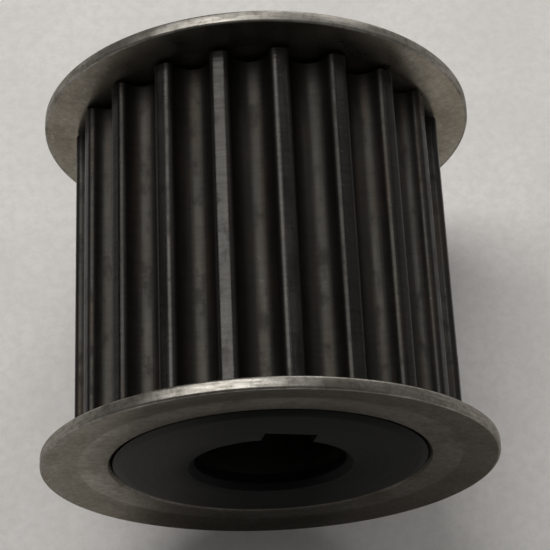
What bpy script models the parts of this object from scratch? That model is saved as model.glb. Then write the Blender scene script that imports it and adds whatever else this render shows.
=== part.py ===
"""Flanged timing belt pulley, 20 teeth, 5 mm pitch round-tooth (curvilinear) profile.

Three real pieces: a turned and tooth-cut steel body with a keyed 12 mm bore, and two
thin steel belt flanges held on its ends by a rolled lip. The pulley's axis is Y, with
the bore centre at mid width as the origin. The toothed body carries the teeth between
the flanges. Units are metres.
"""
import math

import bmesh
import bpy

MM = 0.001

# Teeth: pitch, count and groove of the 5 mm round-tooth profile.
PITCH = 5.0 * MM
TEETH = 20
PITCH_LINE_OFFSET = 0.5715 * MM
GROOVE_DEPTH = 2.06 * MM
GROOVE_RADIUS = 1.55 * MM
TIP_RADIUS = 0.48 * MM
OUTSIDE_R = TEETH * PITCH / (2.0 * math.pi) - PITCH_LINE_OFFSET
TOOTHED_HALF = 13.75 * MM
GROOVE_ARC_STEPS = 12
TIP_ARC_STEPS = 4
LAND_STEPS = 3

# Turned ends of the body: flange seat, rolled lip and end face.
SEAT_R = 12.0 * MM
SEAT_TOP = 14.55 * MM
LIP_R = 12.4 * MM
LIP_Y = 14.93 * MM
FACE_R = 11.7 * MM
FACE_Y = 15.2 * MM

# Bore and keyway.
BORE_R = 6.0 * MM
BORE_CHAMFER = 0.5 * MM
KEY_WIDTH = 4.0 * MM
KEY_FLOOR = 7.8 * MM

# Belt flanges: flat inner zone, outer zone flared away from the belt.
FLANGE_R = 18.0 * MM
FLANGE_T = 1.0 * MM
FLANGE_INNER_Y = 14.0 * MM
FLANGE_BEND_R = 15.1 * MM
FLANGE_FLARE = 0.4 * MM
FLANGE_HOLE_R = 12.3 * MM
FLANGE_SINK_R = 12.75 * MM
FLANGE_SINK_DEPTH = 0.5 * MM
RIM_ROUND = 0.2 * MM

# Angles about the axis, measured from +Z towards +X, as the pulley lies at rest.
LAND_ANGLE = math.radians(-9.9)
KEY_ANGLE = math.radians(12.5)

TURN_STEPS = 96


def clear_scene():
    for old in list(bpy.data.objects):
        bpy.data.objects.remove(old, do_unlink=True)


def collection(name):
    made = bpy.data.collections.new(name)
    bpy.context.scene.collection.children.link(made)
    return made


def material(name, colour, roughness):
    made = bpy.data.materials.new(name)
    made.use_nodes = True
    shader = made.node_tree.nodes["Principled BSDF"]
    shader.inputs["Base Color"].default_value = (*colour, 1.0)
    shader.inputs["Metallic"].default_value = 1.0
    shader.inputs["Roughness"].default_value = roughness
    made.diffuse_color = (*colour, 1.0)
    return made


def apply_modifiers(source, name, home):
    """Replace an object by a plain mesh of its evaluated shape."""
    graph = bpy.context.evaluated_depsgraph_get()
    mesh = bpy.data.meshes.new_from_object(source.evaluated_get(graph))
    shape = bmesh.new()
    shape.from_mesh(mesh)
    bmesh.ops.remove_doubles(shape, verts=shape.verts, dist=1e-7)
    bmesh.ops.recalc_face_normals(shape, faces=shape.faces)
    shape.to_mesh(mesh)
    shape.free()
    made = bpy.data.objects.new(name, mesh)
    made.matrix_world = source.matrix_world.copy()
    home.objects.link(made)
    bpy.data.objects.remove(source, do_unlink=True)
    return made


def lay_on_axis(made):
    """Turn a shape built about Z so that its axis runs along -Y."""
    for corner in made.data.vertices:
        x, y, z = corner.co
        corner.co = (x, -z, y)


def turned(name, profile, home):
    """Solid turned about Y from a (radius, y) outline, left open where it meets the axis."""
    mesh = bpy.data.meshes.new(name)
    points = [(r, 0.0, -y) for r, y in profile]
    sides = [(i, i + 1) for i in range(len(points) - 1)]
    if profile[0][0] > 0.0:
        sides.append((len(points) - 1, 0))
    mesh.from_pydata(points, sides, [])
    source = bpy.data.objects.new(name + "_profile", mesh)
    home.objects.link(source)
    screw = source.modifiers.new("turn", "SCREW")
    screw.axis = "Z"
    screw.steps = TURN_STEPS
    screw.render_steps = TURN_STEPS
    screw.use_merge_vertices = True
    screw.merge_threshold = 0.00001
    made = apply_modifiers(source, name, home)
    lay_on_axis(made)
    return made


def extruded(name, outline, half_length, home):
    """Bar with a flat outline in the XZ plane, along Y between -half and +half length."""
    curve = bpy.data.curves.new(name, "CURVE")
    curve.dimensions = "2D"
    curve.fill_mode = "BOTH"
    curve.extrude = half_length
    spline = curve.splines.new("POLY")
    spline.points.add(len(outline) - 1)
    for point, (x, y) in zip(spline.points, outline):
        point.co = (x, y, 0.0, 1.0)
    spline.use_cyclic_u = True
    source = bpy.data.objects.new(name + "_curve", curve)
    home.objects.link(source)
    bpy.context.view_layer.update()
    made = apply_modifiers(source, name, home)
    lay_on_axis(made)
    return made


def polar(radius, angle):
    """Point in the XZ plane at an angle from +Z towards +X."""
    return (radius * math.sin(angle), radius * math.cos(angle))


def tooth_outline():
    """Outline with 20 round grooves, rounded tooth tips and short lands."""
    centre_r = OUTSIDE_R - GROOVE_DEPTH + GROOVE_RADIUS
    tip_r = OUTSIDE_R - TIP_RADIUS
    reach = GROOVE_RADIUS + TIP_RADIUS
    cosine = (tip_r ** 2 + centre_r ** 2 - reach ** 2) / (2.0 * tip_r * centre_r)
    tip_angle = math.acos(cosine)
    step = 2.0 * math.pi / TEETH
    # Direction from the groove centre to the tip centre, in the groove's own frame.
    across = tip_r * math.sin(tip_angle)
    along = tip_r * math.cos(tip_angle) - centre_r
    flank = math.atan2(across, -along)
    points = []
    for tooth in range(TEETH):
        middle = LAND_ANGLE + (tooth + 0.5) * step
        local = []
        for i in range(-GROOVE_ARC_STEPS, GROOVE_ARC_STEPS + 1):
            turn = flank * i / GROOVE_ARC_STEPS
            local.append((GROOVE_RADIUS * math.sin(turn), centre_r - GROOVE_RADIUS * math.cos(turn)))
        # Rounded tip on the far side of the groove, from the flank up to the land.
        start = math.atan2(-across, -along)
        for i in range(1, TIP_ARC_STEPS + 1):
            turn = start + (tip_angle - start) * i / TIP_ARC_STEPS
            local.append((across + TIP_RADIUS * math.sin(turn),
                          centre_r + along + TIP_RADIUS * math.cos(turn)))
        near = [(-x, h) for x, h in reversed(local[2 * GROOVE_ARC_STEPS + 1:])]
        local = near + local
        for x, h in local:
            points.append((x * math.cos(middle) + h * math.sin(middle),
                           h * math.cos(middle) - x * math.sin(middle)))
        for i in range(1, LAND_STEPS):
            turn = tip_angle + (step - 2.0 * tip_angle) * i / LAND_STEPS
            points.append(polar(OUTSIDE_R, middle + turn))
    return points


def cut(target, cutter, operation):
    step = target.modifiers.new(operation.lower(), "BOOLEAN")
    step.operation = operation
    step.solver = "EXACT"
    step.object = cutter


def shade(made, paint, angle):
    made.data.materials.clear()
    made.data.materials.append(paint)
    for face in made.data.polygons:
        face.use_smooth = True
        face.material_index = 0
    made.data.set_sharp_from_angle(angle=math.radians(angle))


def end_core():
    """Turned core that gives both flange seats, rolled lips and end faces."""
    upper = [(0.0, FACE_Y), (FACE_R, FACE_Y), (LIP_R, LIP_Y), (SEAT_R, SEAT_TOP)]
    return upper + [(r, -y) for r, y in reversed(upper)]


def bore_profile():
    """Straight bore that opens into a chamfer at each end face."""
    past = 1.0 * MM
    wide = BORE_R + BORE_CHAMFER + past
    mouth = [(0.0, FACE_Y + past), (wide, FACE_Y + past), (BORE_R, FACE_Y - BORE_CHAMFER)]
    return mouth + [(r, -y) for r, y in reversed(mouth)]


def flange_profile(side):
    """Closed (radius, height) loop of one flange, on the +Y or -Y end."""
    inner = FLANGE_INNER_Y
    outer = FLANGE_INNER_Y + FLANGE_T
    rim = FLANGE_R
    loop = [
        (FLANGE_SINK_R, outer),
        (FLANGE_BEND_R, outer),
        (rim - RIM_ROUND, outer + FLANGE_FLARE),
    ]
    for i in range(1, 4):
        turn = math.radians(22.5 * i)
        loop.append((rim - RIM_ROUND * (1.0 - math.sin(turn)),
                     outer + FLANGE_FLARE - RIM_ROUND * (1.0 - math.cos(turn))))
    loop.append((rim, outer + FLANGE_FLARE - RIM_ROUND))
    loop.append((rim, inner + FLANGE_FLARE + RIM_ROUND))
    for i in range(1, 4):
        turn = math.radians(22.5 * i)
        loop.append((rim - RIM_ROUND * (1.0 - math.cos(turn)),
                     inner + FLANGE_FLARE + RIM_ROUND * (1.0 - math.sin(turn))))
    loop.append((rim - RIM_ROUND, inner + FLANGE_FLARE))
    loop.append((FLANGE_BEND_R, inner))
    loop.append((FLANGE_HOLE_R, inner))
    loop.append((FLANGE_HOLE_R, outer - FLANGE_SINK_DEPTH))
    if side < 0:
        loop = [(r, -y) for r, y in reversed(loop)]
    return loop


def build():
    clear_scene()
    parts = collection("parts")
    cutters = collection("cutters")
    black = material("black_oxide_steel", (0.035, 0.035, 0.037), 0.42)
    bright = material("flange_steel", (0.42, 0.40, 0.37), 0.36)

    blank = extruded("tooth_blank", tooth_outline(), TOOTHED_HALF, parts)
    core = turned("end_core", end_core(), cutters)
    bore = turned("bore_cutter", bore_profile(), cutters)
    bpy.ops.mesh.primitive_cube_add(size=1.0)
    key = bpy.context.active_object
    key.name = "keyway_cutter"
    for old in list(key.users_collection):
        old.objects.unlink(key)
    cutters.objects.link(key)
    length = 2.0 * FACE_Y + 4.0 * MM
    for corner in key.data.vertices:
        x, y, z = corner.co
        corner.co = (x * KEY_WIDTH, y * length, (z + 0.5) * KEY_FLOOR)
    key.rotation_euler = (0.0, KEY_ANGLE, 0.0)

    cut(blank, core, "UNION")
    cut(blank, bore, "DIFFERENCE")
    cut(blank, key, "DIFFERENCE")
    bpy.context.view_layer.update()
    body = apply_modifiers(blank, "toothed_body", parts)
    shade(body, black, 30.0)

    front = turned("front_flange", flange_profile(-1), parts)
    shade(front, bright, 30.0)
    rear = turned("rear_flange", flange_profile(1), parts)
    shade(rear, bright, 30.0)

    for cutter in cutters.objects:
        cutter.hide_render = True
        cutter.display_type = "WIRE"


build()
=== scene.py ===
"""Look of the flanged timing belt pulley: black-oxide toothed body and two steel flanges.

The pulley lies on its flange rims on pale paper, with its axis along Y. Every piece is
rebuilt finer than its CAD node, in the same frame. Shapes are worked out in millimetres
and become metres in ring(). Colours are linear RGB.
"""

import math

import bmesh
import bpy
from mathutils import Matrix, Vector


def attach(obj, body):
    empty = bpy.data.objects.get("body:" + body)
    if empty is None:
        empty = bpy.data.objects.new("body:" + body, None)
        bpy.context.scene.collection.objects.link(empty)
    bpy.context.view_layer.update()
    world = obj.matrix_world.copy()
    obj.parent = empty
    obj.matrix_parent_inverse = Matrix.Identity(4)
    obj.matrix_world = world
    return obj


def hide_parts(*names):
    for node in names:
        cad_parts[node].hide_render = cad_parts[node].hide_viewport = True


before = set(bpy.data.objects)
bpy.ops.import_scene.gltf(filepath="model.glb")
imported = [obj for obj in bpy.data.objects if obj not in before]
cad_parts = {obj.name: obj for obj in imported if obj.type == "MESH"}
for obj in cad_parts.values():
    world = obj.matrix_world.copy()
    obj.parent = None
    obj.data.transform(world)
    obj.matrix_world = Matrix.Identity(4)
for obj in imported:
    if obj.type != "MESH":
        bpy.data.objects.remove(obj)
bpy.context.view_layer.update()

MM = 0.001

# Teeth.
TEETH = 20
OUTSIDE_R = 15.344
GROOVE_DEPTH = 2.06
GROOVE_RADIUS = 1.55
TIP_RADIUS = 0.48
TOOTHED_HALF = 13.75
EDGE_BREAK = 0.07

# Corners of the tooth outline: on each tip, on each half of a groove, and on each land.
TIP_STEPS = 7
GROOVE_STEPS = 13
LAND_STEPS = 5
TOOTH_CORNERS = 2 * TIP_STEPS + 2 * GROOVE_STEPS + LAND_STEPS

# Ends of the body, bore and keyway. The keyway stays inside KEY_REACH.
SEAT_R = 12.0
SEAT_TOP = 14.55
LIP_R = 12.4
LIP_Y = 14.93
FACE_R = 11.7
FACE_Y = 15.2
BORE_R = 6.0
BORE_CHAMFER = 0.5
KEY_WIDTH = 4.0
KEY_FLOOR = 7.8
KEY_REACH = 8.4
CHAMFER_STEPS = 6

# Flanges. The bend between the flat zone and the flare is soft from BEND_IN to BEND_OUT.
FLANGE_R = 18.0
FLANGE_T = 1.0
FLANGE_Y = 14.0
BEND_R = 15.1
BEND_IN = 14.75
BEND_OUT = 15.5
BEND_STEPS = 5
FLARE = 0.4
HOLE_R = 12.3
SINK_R = 12.75
SINK_DEPTH = 0.5
RIM_ROUND = 0.20
RIM_STEPS = 7
RIM_SHY = 0.02
FLANGE_SIDES = 288

# Angles about the axis, from +Z towards +X.
LAND_ANGLE = math.radians(-9.9)
KEY_ANGLE = math.radians(12.5)
SHARP_ANGLE = math.radians(28.0)


# ---------------------------------------------------------------- geometry

def arc(cx, cy, radius, start, end, steps):
    """Points of an arc, with angles in degrees from +x towards +y."""
    points = []
    for i in range(steps + 1):
        turn = math.radians(start + (end - start) * i / steps)
        points.append((cx + radius * math.cos(turn), cy + radius * math.sin(turn)))
    return points


def around(angle):
    """The same angle between -pi and pi."""
    return (angle + math.pi) % (2.0 * math.pi) - math.pi


def tooth_loop(inset):
    """Tooth outline in the XZ plane, pulled in by the inset, as (angle, radius) pairs."""
    outside = OUTSIDE_R - inset
    groove = GROOVE_RADIUS + inset
    tip = TIP_RADIUS - inset
    centre = OUTSIDE_R - GROOVE_DEPTH + GROOVE_RADIUS
    tip_r = OUTSIDE_R - TIP_RADIUS
    reach = GROOVE_RADIUS + TIP_RADIUS
    half = math.acos((tip_r ** 2 + centre ** 2 - reach ** 2) / (2.0 * tip_r * centre))
    across = tip_r * math.sin(half)
    along = tip_r * math.cos(half) - centre
    flank = math.atan2(across, -along)
    start = math.atan2(-across, -along)
    step = 2.0 * math.pi / TEETH
    loop = []
    for tooth in range(TEETH):
        middle = LAND_ANGLE + (tooth + 0.5) * step
        side = []
        for i in range(1, TIP_STEPS + 1):
            turn = start + (half - start) * i / TIP_STEPS
            side.append((across + tip * math.sin(turn), centre + along + tip * math.cos(turn)))
        local = [(-x, h) for x, h in reversed(side)]
        for i in range(-GROOVE_STEPS, GROOVE_STEPS + 1):
            turn = flank * i / GROOVE_STEPS
            local.append((groove * math.sin(turn), centre - groove * math.cos(turn)))
        local += side
        for x, h in local:
            loop.append((middle + math.atan2(x, h), math.hypot(x, h)))
        for i in range(1, LAND_STEPS):
            loop.append((middle + half + (step - 2.0 * half) * i / LAND_STEPS, outside))
    return loop


def even_angles():
    """Evenly spaced angles, as many as the tooth outline has and in step with it."""
    step = 2.0 * math.pi / TEETH
    groove_middle = TIP_STEPS + GROOVE_STEPS
    angles = []
    for tooth in range(TEETH):
        middle = LAND_ANGLE + (tooth + 0.5) * step
        angles += [middle + (k - groove_middle) * step / TOOTH_CORNERS
                   for k in range(TOOTH_CORNERS)]
    return angles


def round_loop(radius):
    return [(a, radius) for a in even_angles()]


def keyed_loop(radius):
    """Circle that steps out round the keyway, with a corner of the loop on each of its edges."""
    half = KEY_WIDTH / 2.0
    tiny = 1e-6
    angles = even_angles()
    floor_edge = math.atan2(half, KEY_FLOOR)
    mouth_edge = math.asin(half / radius)
    for edge in (-mouth_edge, -floor_edge, floor_edge, mouth_edge):
        exact = KEY_ANGLE + edge
        nearest = min(range(len(angles)), key=lambda i: abs(around(angles[i] - exact)))
        angles[nearest] = exact
    loop = []
    for a in angles:
        off = abs(around(a - KEY_ANGLE))
        if off < mouth_edge + tiny:
            flank = half / max(math.sin(off), tiny)
            loop.append((a, max(radius, min(flank, KEY_FLOOR / math.cos(off)))))
        else:
            loop.append((a, radius))
    return loop


def ring(points, y):
    """Corner positions of one loop of (angle, radius) pairs about the Y axis, in metres."""
    return [(r * MM * math.sin(a), y * MM, r * MM * math.cos(a)) for a, r in points]


def skin(name, loops):
    """Smooth closed mesh through a closed series of rings that all have as many corners."""
    shape = bmesh.new()
    rows = [[shape.verts.new(co) for co in loop] for loop in loops]
    count = len(rows[0])
    for a, b in zip(rows, rows[1:] + rows[:1]):
        for i in range(count):
            j = (i + 1) % count
            shape.faces.new((a[i], a[j], b[j], b[i]))
    bmesh.ops.recalc_face_normals(shape, faces=shape.faces)
    mesh = bpy.data.meshes.new(name)
    shape.to_mesh(mesh)
    shape.free()
    for face in mesh.polygons:
        face.use_smooth = True
    mesh.set_sharp_from_angle(angle=SHARP_ANGLE)
    made = bpy.data.objects.new(name, mesh)
    bpy.context.scene.collection.objects.link(made)
    return made


def mouth_profile():
    """(radius, y) of the +Y end inside the keyway's reach: bore edge, chamfer and face."""
    low = FACE_Y - BORE_CHAMFER
    rise = BORE_CHAMFER - 0.03
    points = [(BORE_R, low - 0.03)]
    for i in range(CHAMFER_STEPS + 1):
        t = i / CHAMFER_STEPS
        points.append((BORE_R + 0.01 + rise * t, low + rise * t))
    wide = BORE_R + BORE_CHAMFER
    return points + [(wide + 0.01, FACE_Y - 0.01), (wide + 0.05, FACE_Y)]


def lip_profile():
    """(radius, y) of the +Y end from the flat face over the rolled lip to the flange seat.

    The small offsets round each corner over a few hundredths of a millimetre.
    """
    return [
        (KEY_REACH, FACE_Y), (FACE_R - 0.06, FACE_Y), (FACE_R, FACE_Y - 0.015),
        (FACE_R + 0.3, FACE_Y - 0.11), (LIP_R - 0.1, LIP_Y + 0.02),
        (LIP_R - 0.03, LIP_Y - 0.01), (LIP_R, LIP_Y - 0.06),
        (LIP_R - 0.06, LIP_Y - 0.16), (SEAT_R + 0.02, SEAT_TOP + 0.02), (SEAT_R, SEAT_TOP),
        (SEAT_R, TOOTHED_HALF),
    ]


def make_body():
    teeth = tooth_loop(0.0)
    eased = tooth_loop(EDGE_BREAK)
    half = TOOTHED_HALF - EDGE_BREAK
    mouth = [(keyed_loop(r), y) for r, y in mouth_profile()]
    lip = [(round_loop(r), y) for r, y in lip_profile()]
    end = mouth + lip + [(eased, TOOTHED_HALF)]
    loops = [ring(loop, y) for loop, y in end]
    for y in (half, half - 0.3, half / 2.0, 0.0, -half / 2.0, 0.3 - half, -half):
        loops.append(ring(teeth, y))
    loops += [ring(loop, -y) for loop, y in reversed(end)]
    for y in (-8.0, 0.0, 8.0):
        loops.append(ring(keyed_loop(BORE_R), y))
    return skin("toothed_body_fine", loops)


def flange_loop():
    """Closed (radius, y) outline of the +Y flange: flat seat zone, soft bend, flared rim."""
    lean = FLARE / (FLANGE_R - BEND_R)
    slope = math.degrees(math.atan(lean))
    outer = FLANGE_Y + FLANGE_T
    bend_width = BEND_OUT - BEND_IN
    bend = []
    for i in range(BEND_STEPS + 1):
        t = i / BEND_STEPS
        bend.append((BEND_IN + bend_width * t, lean * bend_width / 2.0 * t * t))
    bend_middle = (BEND_IN + BEND_OUT) / 2.0
    flare_middle = 16.6
    flare_rise = lean * (flare_middle - bend_middle)
    rim_rise = lean * (FLANGE_R - bend_middle)
    rim_centre = FLANGE_R - RIM_ROUND

    points = [(HOLE_R, outer - SINK_DEPTH), (SINK_R - 0.03, outer - 0.04),
              (SINK_R, outer - 0.012), (SINK_R + 0.04, outer), (14.0, outer)]
    points += [(r, outer + rise) for r, rise in bend]
    points.append((flare_middle, outer + flare_rise))
    points += arc(rim_centre, outer + rim_rise - RIM_SHY - RIM_ROUND, RIM_ROUND,
                  90.0 + slope, 0.0, RIM_STEPS)
    points += arc(rim_centre, FLANGE_Y + rim_rise + RIM_ROUND, RIM_ROUND,
                  0.0, slope - 90.0, RIM_STEPS)
    points.append((flare_middle, FLANGE_Y + flare_rise))
    points += [(r, FLANGE_Y + rise) for r, rise in reversed(bend)]
    points += [(13.6, FLANGE_Y), (HOLE_R + 0.05, FLANGE_Y), (HOLE_R, FLANGE_Y + 0.05)]
    return points


def make_flange(name, side):
    angles = [2.0 * math.pi * i / FLANGE_SIDES for i in range(FLANGE_SIDES)]
    return skin(name, [ring([(a, r) for a in angles], side * y) for r, y in flange_loop()])


# ---------------------------------------------------------------- materials

class Paint:
    """A material and short calls that add nodes to it."""

    def __init__(self, name):
        self.material = bpy.data.materials.new(name)
        self.material.use_nodes = True
        self.tree = self.material.node_tree
        self.shader = self.tree.nodes["Principled BSDF"]
        place = self.add("ShaderNodeTexCoord")
        self.place = place.outputs["Object"]
        split = self.add("ShaderNodeSeparateXYZ", {0: self.place})
        self.x, self.y, self.z = split.outputs
        flat = self.add("ShaderNodeCombineXYZ", {0: self.x, 2: self.z})
        self.flat = flat.outputs[0]
        span = self.add("ShaderNodeVectorMath", {0: self.flat}, operation="LENGTH")
        self.radius = span.outputs["Value"]

    def add(self, kind, inputs=None, **settings):
        node = self.tree.nodes.new(kind)
        for key, value in settings.items():
            setattr(node, key, value)
        for key, value in (inputs or {}).items():
            self.put(node.inputs[key], value)
        return node

    def put(self, socket, value):
        if isinstance(value, bpy.types.NodeSocket):
            self.tree.links.new(value, socket)
        else:
            socket.default_value = value

    def set(self, name, value):
        self.put(self.shader.inputs[name], value)

    def math(self, operation, a, b=0.0):
        return self.add("ShaderNodeMath", {0: a, 1: b}, operation=operation).outputs[0]

    def ramp(self, value, low, high, to_low=0.0, to_high=1.0):
        """Smooth step of a value from one range to another."""
        node = self.add("ShaderNodeMapRange",
                        {0: value, 1: low, 2: high, 3: to_low, 4: to_high},
                        interpolation_type="SMOOTHSTEP")
        return node.outputs[0]

    def vector(self, operation, a, b):
        return self.add("ShaderNodeVectorMath", {0: a, 1: b}, operation=operation).outputs[0]

    def scaled(self, colour, factor):
        node = self.add("ShaderNodeVectorMath", {0: colour, "Scale": factor}, operation="SCALE")
        return node.outputs[0]

    def noise(self, vector, detail=3.0, rough=0.55):
        """Soft noise from 0 to 1 at one cell per unit of the vector."""
        node = self.add("ShaderNodeTexNoise",
                        {"Vector": vector, "Scale": 1.0, "Detail": detail, "Roughness": rough})
        return node.outputs["Fac"]

    def cells(self, x, y, z, detail, rough=0.55, source=None):
        """Noise with its own number of cells per metre along each axis."""
        return self.noise(self.vector("MULTIPLY", source or self.place, (x, y, z)), detail, rough)

    def rings(self, per_metre, wander, detail):
        """Noise that changes fast with the radius and slowly round the axis."""
        unit = self.add("ShaderNodeVectorMath", {0: self.flat}, operation="NORMALIZE").outputs[0]
        slow = self.vector("MULTIPLY", unit, (wander, wander, wander))
        fast = self.math("MULTIPLY", self.radius, per_metre)
        lift = self.add("ShaderNodeCombineXYZ", {1: fast}).outputs[0]
        return self.noise(self.vector("ADD", slow, lift), detail)

    def mix(self, factor, a, b):
        node = self.add("ShaderNodeMix", data_type="RGBA")
        self.put(node.inputs[0], factor)
        for socket, value in ((node.inputs[6], a), (node.inputs[7], b)):
            self.put(socket, value if isinstance(value, bpy.types.NodeSocket) else (*value, 1.0))
        return node.outputs[2]

    def blend(self, factor, a, b):
        node = self.add("ShaderNodeMix", {0: factor, 2: a, 3: b}, data_type="FLOAT")
        return node.outputs[0]

    def bump(self, height, distance, strength, under=None):
        node = self.add("ShaderNodeBump", {"Height": height, "Distance": distance,
                                           "Strength": strength})
        if under is not None:
            self.put(node.inputs["Normal"], under)
        return node.outputs[0]


# Black oxide on the teeth.
OXIDE_COOL = (0.029, 0.029, 0.027)
OXIDE_GREY = (0.036, 0.034, 0.030)
OXIDE_WARM = (0.041, 0.032, 0.026)
OXIDE_ROOT = (0.028, 0.025, 0.020)
OXIDE_WORN = (0.044, 0.043, 0.041)
OXIDE_RIPPLE = (0.020, 0.019, 0.017)
OXIDE_BLOTCH = (0.019, 0.018, 0.017)
OXIDE_SPECK = (0.12, 0.115, 0.11)

# Black oxide on the end faces and at the mouth of the bore.
FACE_DARK = (0.0040, 0.0044, 0.0043)
FACE_RING = (0.0050, 0.0054, 0.0052)
# Painted reflection: the end faces turn lighter towards -X.
FACE_PAINTED_SHEEN = (0.0300, 0.0300, 0.0290)
MOUTH_BLACK = (0.0060, 0.0060, 0.0064)
OXIDE_EDGE_TINT = (0.72, 0.72, 0.72, 1.0)


def black_oxide():
    """Blackened steel: cutter marks along and across the teeth, turning rings on the faces."""
    p = Paint("black_oxide_steel")
    along = p.math("ABSOLUTE", p.y)
    end = p.ramp(along, 13.80 * MM, 13.95 * MM)
    land = p.ramp(p.radius, 15.26 * MM, 15.34 * MM)
    root = p.ramp(p.radius, 14.6 * MM, 13.3 * MM)
    mouth = p.ramp(p.radius, 8.0 * MM, 6.3 * MM)
    # Painted reflection: a mask that rises towards -X across the end faces.
    painted_sheen_side = p.ramp(p.x, -1.0 * MM, -11.0 * MM)
    cutter = p.cells(5200.0, 60.0, 5200.0, 2.0)
    streak = p.cells(1500.0, 130.0, 1500.0, 3.0)
    ripple = p.cells(420.0, 3400.0, 420.0, 2.0, 0.7)
    blotch = p.cells(620.0, 430.0, 620.0, 5.0, 0.65)
    turning = p.rings(5200.0, 2.5, 2.0)
    patch = p.cells(330.0, 200.0, 330.0, 4.0, 0.6)
    grain = p.cells(9000.0, 9000.0, 9000.0, 2.0)
    speck = p.cells(2600.0, 2600.0, 2600.0, 1.0)

    teeth = p.mix(p.ramp(patch, 0.35, 0.65), OXIDE_COOL, OXIDE_GREY)
    teeth = p.mix(p.ramp(streak, 0.48, 0.72), teeth, OXIDE_WARM)
    teeth = p.mix(p.math("MULTIPLY", root, 0.35), teeth, OXIDE_ROOT)
    rub = p.math("MULTIPLY", land, p.ramp(streak, 0.30, 0.62, 0.35, 1.0))
    teeth = p.mix(p.math("MULTIPLY", rub, 0.75), teeth, OXIDE_WORN)
    teeth = p.mix(p.ramp(ripple, 0.36, 0.70, 0.0, 0.42), teeth, OXIDE_RIPPLE)
    teeth = p.mix(p.ramp(blotch, 0.52, 0.68, 0.0, 0.50), teeth, OXIDE_BLOTCH)
    face = p.mix(p.ramp(turning, 0.2, 0.8), FACE_DARK, FACE_RING)
    # Painted reflection on the -X side of the end faces.
    face = p.mix(painted_sheen_side, face, FACE_PAINTED_SHEEN)
    face = p.mix(mouth, face, MOUTH_BLACK)
    base = p.mix(end, teeth, face)
    fleck = p.ramp(speck, 0.735, 0.78)
    p.set("Base Color", p.mix(p.math("MULTIPLY", fleck, 0.16), base, OXIDE_SPECK))
    p.set("Metallic", 0.85)
    p.set("Specular IOR Level", 0.3)
    p.set("Specular Tint", OXIDE_EDGE_TINT)

    groove_rough = p.ramp(streak, 0.25, 0.75, 0.36, 0.46)
    land_rough = p.ramp(patch, 0.3, 0.7, 0.23, 0.31)
    face_rough = p.ramp(turning, 0.2, 0.8, 0.46, 0.52)
    rough = p.blend(land, groove_rough, land_rough)
    rough = p.math("ADD", rough, p.ramp(blotch, 0.50, 0.66, 0.0, 0.10))
    p.set("Roughness", p.blend(end, rough, face_rough))

    low = p.bump(p.blend(end, cutter, turning), p.blend(end, 0.009 * MM, 0.003 * MM), 0.7)
    ripple_height = p.math("MULTIPLY", p.math("SUBTRACT", 1.0, end), 0.016 * MM)
    cross = p.bump(ripple, ripple_height, 0.8, low)
    p.set("Normal", p.bump(grain, p.blend(end, 0.006 * MM, 0.012 * MM), 0.6, cross))
    return p.material


# Bare steel on the flanges' sides, and on their turned rims.
STEEL_DARK = (0.27, 0.248, 0.210)
STEEL_LIGHT = (0.35, 0.33, 0.295)
STEEL_STAIN = (0.15, 0.130, 0.100)
STEEL_RING = (0.42, 0.40, 0.365)
# Painted shade for the flared outer zone of each flange.
STEEL_FLARE_SHADE = (0.18, 0.162, 0.130)
STEEL_MOTTLE_DARK = (0.13, 0.118, 0.096)
STEEL_MOTTLE_LIGHT = (0.52, 0.50, 0.46)
STEEL_SCRATCH = (0.50, 0.49, 0.46)
RIM_DARK = (0.20, 0.190, 0.168)
RIM_LIGHT = (0.40, 0.38, 0.35)
RIM_STAIN = (0.09, 0.080, 0.063)
RIM_MOTTLE = (0.08, 0.072, 0.058)
STEEL_EDGE_TINT = (0.72, 0.71, 0.68, 1.0)


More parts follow.
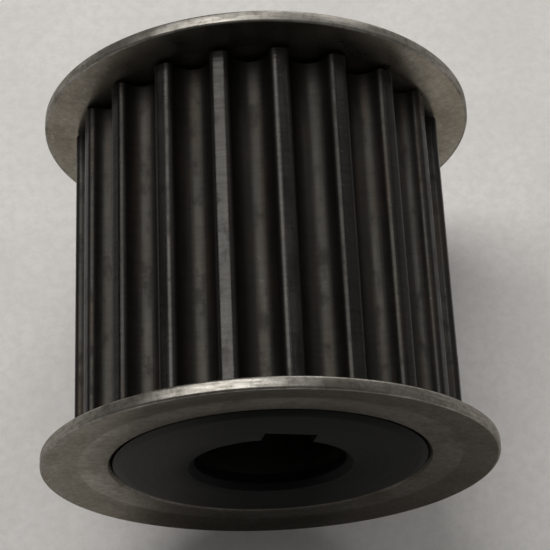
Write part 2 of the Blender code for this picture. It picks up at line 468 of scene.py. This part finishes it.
def flange_steel(name, seed, shaded_tone, lit_tone, lit_side):
    """Bare pressed steel: turning rings, stains, fine scratches and a turned rim.

    The two tones are painted shade and painted light: they multiply the steel's own colour on
    the shaded part of the disc and on the lit part, on -X or +X as the last argument's sign says.
    The seed moves the noise, in metres.
    """
    p = Paint(name)
    shift = p.vector("ADD", p.place, (seed, seed * 0.7, -seed))
    rings = p.rings(2600.0, 3.0, 3.0)
    wide = p.rings(700.0, 2.0, 2.0)
    stain = p.cells(260.0, 260.0, 260.0, 5.0, 0.62, shift)
    smudge = p.cells(95.0, 95.0, 95.0, 3.0, 0.5, shift)
    mottle = p.cells(2300.0, 2300.0, 2300.0, 4.0, 0.7, shift)
    grain = p.cells(7000.0, 7000.0, 7000.0, 2.0, source=shift)
    scratch = p.cells(5200.0, 900.0, 420.0, 2.0, source=shift)
    lines = p.cells(420.0, 6000.0, 420.0, 4.0, 0.75, shift)
    rim = p.ramp(p.radius, 17.72 * MM, 17.86 * MM)
    flare = p.ramp(p.radius, 15.00 * MM, 15.15 * MM)
    wobble = p.math("MULTIPLY", p.math("SUBTRACT", smudge, 0.5), 9.0 * MM)
    # Painted light and shade: a mask that is 1 on the lit side of the disc in X and 0 on its
    # shaded side, with a wobbly edge.
    across = p.math("ADD", p.math("MULTIPLY", p.x, lit_side), wobble)
    painted_lit_mask = p.ramp(across, 9.0 * MM, 15.0 * MM)

    side = p.mix(p.ramp(smudge, 0.35, 0.65), STEEL_DARK, STEEL_LIGHT)
    side = p.mix(p.ramp(stain, 0.50, 0.66, 0.0, 0.60), side, STEEL_STAIN)
    side = p.mix(p.ramp(rings, 0.45, 0.75, 0.0, 0.25), side, STEEL_RING)
    # Painted shade: the flared outer zone is darker, standing in for the darker floor it
    # reflects.
    flare_painted_shade = p.math("MULTIPLY", flare, p.ramp(wide, 0.3, 0.7, 0.50, 0.80))
    side = p.mix(flare_painted_shade, side, STEEL_FLARE_SHADE)
    side = p.mix(p.ramp(mottle, 0.44, 0.66, 0.0, 0.42), side, STEEL_MOTTLE_DARK)
    side = p.mix(p.ramp(mottle, 0.42, 0.30, 0.0, 0.26), side, STEEL_MOTTLE_LIGHT)
    side = p.mix(p.ramp(scratch, 0.70, 0.78, 0.0, 0.4), side, STEEL_SCRATCH)
    # Painted light and shade: the steel's colour is scaled by one tone on the shaded side and
    # another on the lit side.
    side = p.scaled(side, p.blend(painted_lit_mask, shaded_tone, lit_tone))
    turned = p.mix(p.ramp(lines, 0.25, 0.75), RIM_DARK, RIM_LIGHT)
    turned = p.mix(p.ramp(stain, 0.50, 0.64, 0.0, 0.55), turned, RIM_STAIN)
    turned = p.mix(p.ramp(mottle, 0.46, 0.70, 0.0, 0.55), turned, RIM_MOTTLE)
    p.set("Base Color", p.mix(rim, side, turned))
    p.set("Metallic", 1.0)
    p.set("Specular Tint", STEEL_EDGE_TINT)

    side_rough = p.math("ADD", p.ramp(stain, 0.3, 0.7, 0.25, 0.38),
                        p.ramp(mottle, 0.35, 0.65, 0.0, 0.08))
    p.set("Roughness", p.blend(rim, side_rough, p.ramp(lines, 0.3, 0.7, 0.46, 0.33)))

    low = p.bump(p.blend(rim, rings, lines), p.blend(rim, 0.010 * MM, 0.008 * MM), 0.6)
    mid = p.bump(smudge, 0.10 * MM, 0.35, low)
    p.set("Normal", p.bump(grain, 0.005 * MM, 0.5, mid))
    return p.material


PAPER_DARK = (0.79, 0.770, 0.755)
PAPER_LIGHT = (0.85, 0.833, 0.818)
PAPER_FIBRE = (0.70, 0.682, 0.664)
PAPER_STRAND = (0.60, 0.58, 0.56)


def paper():
    """Matt warm white paper: soft unevenness, faint fibres and a slightly wavy surface."""
    p = Paint("pale_paper")
    fibre = p.cells(1100.0, 1100.0, 1100.0, 6.0, 0.7)
    strand = p.cells(260.0, 900.0, 260.0, 3.0, 0.6)
    cloud = p.cells(95.0, 95.0, 95.0, 3.0, 0.6)
    wave = p.cells(16.0, 16.0, 16.0, 2.0)
    base = p.mix(p.ramp(cloud, 0.3, 0.7), PAPER_DARK, PAPER_LIGHT)
    base = p.mix(p.ramp(fibre, 0.36, 0.66, 0.0, 0.50), base, PAPER_FIBRE)
    base = p.mix(p.ramp(strand, 0.66, 0.78, 0.0, 0.30), base, PAPER_STRAND)
    p.set("Base Color", base)
    p.set("Roughness", 0.85)
    p.set("Specular IOR Level", 0.25)
    low = p.bump(wave, 0.9 * MM, 0.5)
    p.set("Normal", p.bump(fibre, 0.04 * MM, 0.7, low))
    return p.material


# ---------------------------------------------------------------- pieces

def dress(piece, paint, node):
    piece.data.materials.clear()
    piece.data.materials.append(paint)
    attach(piece, "root")
    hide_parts(node)


dress(make_body(), black_oxide(), "toothed_body")
# The last three numbers paint light and shade on each flange: the tone of its shaded part, the
# tone of its lit part, and the side in X that is lit.
dress(make_flange("front_flange_fine", -1.0),
      flange_steel("flange_steel_front", 0.013, 0.41, 1.22, -1.0), "front_flange")
dress(make_flange("rear_flange_fine", 1.0),
      flange_steel("flange_steel_rear", 0.041, 1.25, 1.90, 1.0), "rear_flange")


# ---------------------------------------------------------------- stage, light and camera

FLOOR_SIZE = 3.0
WARM_WHITE = (1.0, 0.985, 0.96)

# Radiance that the room adds towards each axis: axis number, the direction's value on it
# where the light starts to change and where it stops, and the radiance at those two.
ROOM_LIGHT = ((0, -0.2, 0.8, 0.035, 0.160),
              (2, 0.0, 0.8, 0.0, 0.035),
              (1, 0.2, -0.8, 0.0, 0.065))

# Camera: height above the horizon and roll in radians, target and distance in metres.
ELEVATION = 1.1475
ROLL = -0.046
AIM = Vector((1.01, 0.0, 2.81)) * MM
DISTANCE = 134.9 * MM
SENSOR_WIDTH = 36.0
LENS = 109.4


def add_floor():
    bpy.ops.mesh.primitive_plane_add(size=FLOOR_SIZE, location=(0.0, 0.0, -FLANGE_R * MM))
    floor = bpy.context.active_object
    floor.name = "paper_floor"
    floor.data.materials.append(paper())


def soft_light(name, direction, distance, width, depth, watts):
    """Area light that faces the origin, with its width along X as nearly as it can be."""
    data = bpy.data.lights.new(name, "AREA")
    data.shape = "RECTANGLE"
    data.size = width
    data.size_y = depth
    data.energy = watts
    data.color = WARM_WHITE
    lamp = bpy.data.objects.new(name, data)
    toward = Vector(direction).normalized()
    across = (Vector((1.0, 0.0, 0.0)) - toward * toward.x).normalized()
    pose = Matrix((across, toward.cross(across), toward)).transposed().to_4x4()
    pose.translation = toward * distance
    lamp.matrix_world = pose
    bpy.context.scene.collection.objects.link(lamp)


def light_room():
    """Soft light from all round, with more of it from +X, from above and from -Y."""
    world = bpy.data.worlds.new("room")
    bpy.context.scene.world = world
    world.use_nodes = True
    nodes, links = world.node_tree.nodes, world.node_tree.links
    split = nodes.new("ShaderNodeSeparateXYZ")
    links.new(nodes.new("ShaderNodeTexCoord").outputs["Generated"], split.inputs[0])
    total = None
    for axis, *span in ROOM_LIGHT:
        fade = nodes.new("ShaderNodeMapRange")
        links.new(split.outputs[axis], fade.inputs[0])
        for socket, value in enumerate(span, start=1):
            fade.inputs[socket].default_value = value
        if total is None:
            total = fade.outputs[0]
        else:
            add = nodes.new("ShaderNodeMath")
            links.new(total, add.inputs[0])
            links.new(fade.outputs[0], add.inputs[1])
            total = add.outputs[0]
    sky = nodes["Background"]
    sky.inputs["Color"].default_value = (*WARM_WHITE, 1.0)
    links.new(total, sky.inputs["Strength"])


def add_camera():
    back = Vector((0.0, -math.cos(ELEVATION), math.sin(ELEVATION)))
    right = back.cross(Vector((0.0, 0.0, -1.0))).normalized()
    up = back.cross(right)
    turned_right = right * math.cos(ROLL) + up * math.sin(ROLL)
    turned_up = up * math.cos(ROLL) - right * math.sin(ROLL)
    camera = bpy.data.objects.new("camera", bpy.data.cameras.new("camera"))
    camera.data.sensor_width = SENSOR_WIDTH
    camera.data.lens = LENS
    camera.data.clip_start = 0.005
    camera.data.clip_end = 10.0
    pose = Matrix((turned_right, turned_up, back)).transposed().to_4x4()
    pose.translation = AIM + back * DISTANCE
    camera.matrix_world = pose
    bpy.context.scene.collection.objects.link(camera)
    bpy.context.scene.camera = camera


add_floor()
soft_light("overhead", (-0.33, 0.33, 0.90), 0.50, 0.44, 0.32, 1.61)
soft_light("back_fill", (0.36, 0.85, 0.39), 0.60, 0.45, 0.35, 1.30)
light_room()
add_camera()

view = bpy.context.scene.view_settings
view.view_transform = "Standard"
view.look = "None"
view.exposure = 0.0
